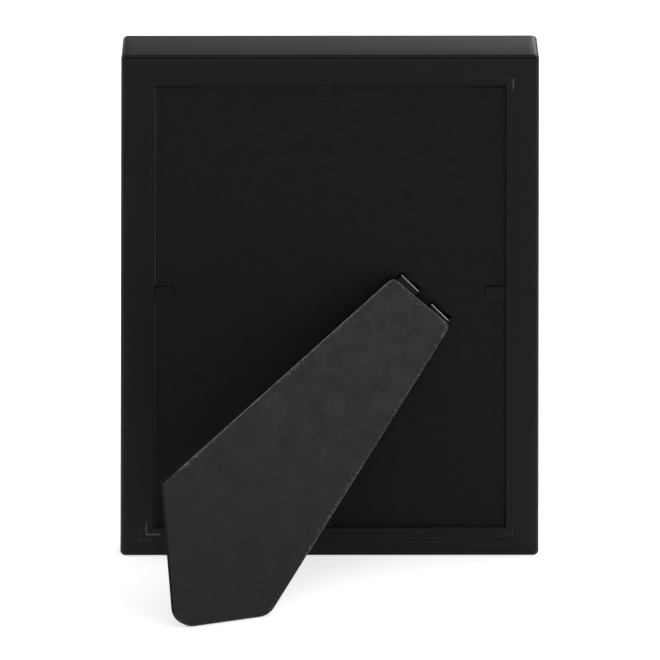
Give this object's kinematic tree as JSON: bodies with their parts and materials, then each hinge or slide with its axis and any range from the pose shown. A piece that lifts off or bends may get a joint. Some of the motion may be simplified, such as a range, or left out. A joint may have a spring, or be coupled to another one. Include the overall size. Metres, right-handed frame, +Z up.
{
  "type": "easel back photo frame",
  "caption": "Upright black photo frame with a stepped ledge round its sunk back, flexible tabs, and a slanted easel leg that swings on a hooked metal leaf and stands it either way up.",
  "frame": {"origin": "on the surface that the frame stands on, under the middle of its bounding box", "axes": "+Z up, -Y towards the viewer of the picture, +X to the right as seen from the front; the top leans back towards +Y and the leg stands on the +Y side"},
  "size_m": [0.1224, 0.076, 0.171],
  "materials": {
    "moulding": "satin black, smooth",
    "pane": "clear, polished",
    "print": "smooth, pale",
    "card": "matte",
    "board": "dark fibreboard, matte",
    "back_paper": "black, matte",
    "tab_steel": "black, satin",
    "leaf_steel": "plated, bright at the bends",
    "leg_paper": "black, fibrous like leather, satin"
  },
  "bodies": {
    "frame": {"frame_moulding": "moulding", "glass_pane": "pane", "print_sheet": "print", "filler_card": "card", "back_board": "board", "back_facing": "back_paper", "tab_shanks": "tab_steel"},
    "leg": {"hinge_leaf": "leaf_steel", "leg_board": "board", "leg_facing": "leg_paper"},
    "tab_top": {"flex_tab_top": "tab_steel"},
    "tab_bottom": {"flex_tab_bottom": "tab_steel"},
    "tab_left": {"flex_tab_left": "tab_steel"},
    "tab_right": {"flex_tab_right": "tab_steel"}
  },
  "joints": [
    {"name": "leg_hinge", "type": "hinge", "parent": "frame", "child": "leg", "pos_m": [-0.0278, -0.00823, 0.08745], "axis": [0.6561, 0.1633, 0.7368], "range_deg": [-29, 0]},
    {"name": "tab_top_bend", "type": "hinge", "parent": "frame", "child": "tab_top", "pos_m": [0.0017, 0.0093, 0.15936], "axis": [1, 0, 0], "range_deg": [0, 90]},
    {"name": "tab_bottom_bend", "type": "hinge", "parent": "frame", "child": "tab_bottom", "pos_m": [0.0017, -0.02386, 0.00979], "axis": [-1, 0, 0], "range_deg": [0, 90]},
    {"name": "tab_right_bend", "type": "hinge", "parent": "frame", "child": "tab_right", "pos_m": [0.0512, -0.00646, 0.08828], "axis": [0, -0.2164, -0.9763], "range_deg": [0, 90]},
    {"name": "tab_left_bend", "type": "hinge", "parent": "frame", "child": "tab_left", "pos_m": [-0.0512, -0.00646, 0.08828], "axis": [0, 0.2164, 0.9763], "range_deg": [0, 90]}
  ]
}
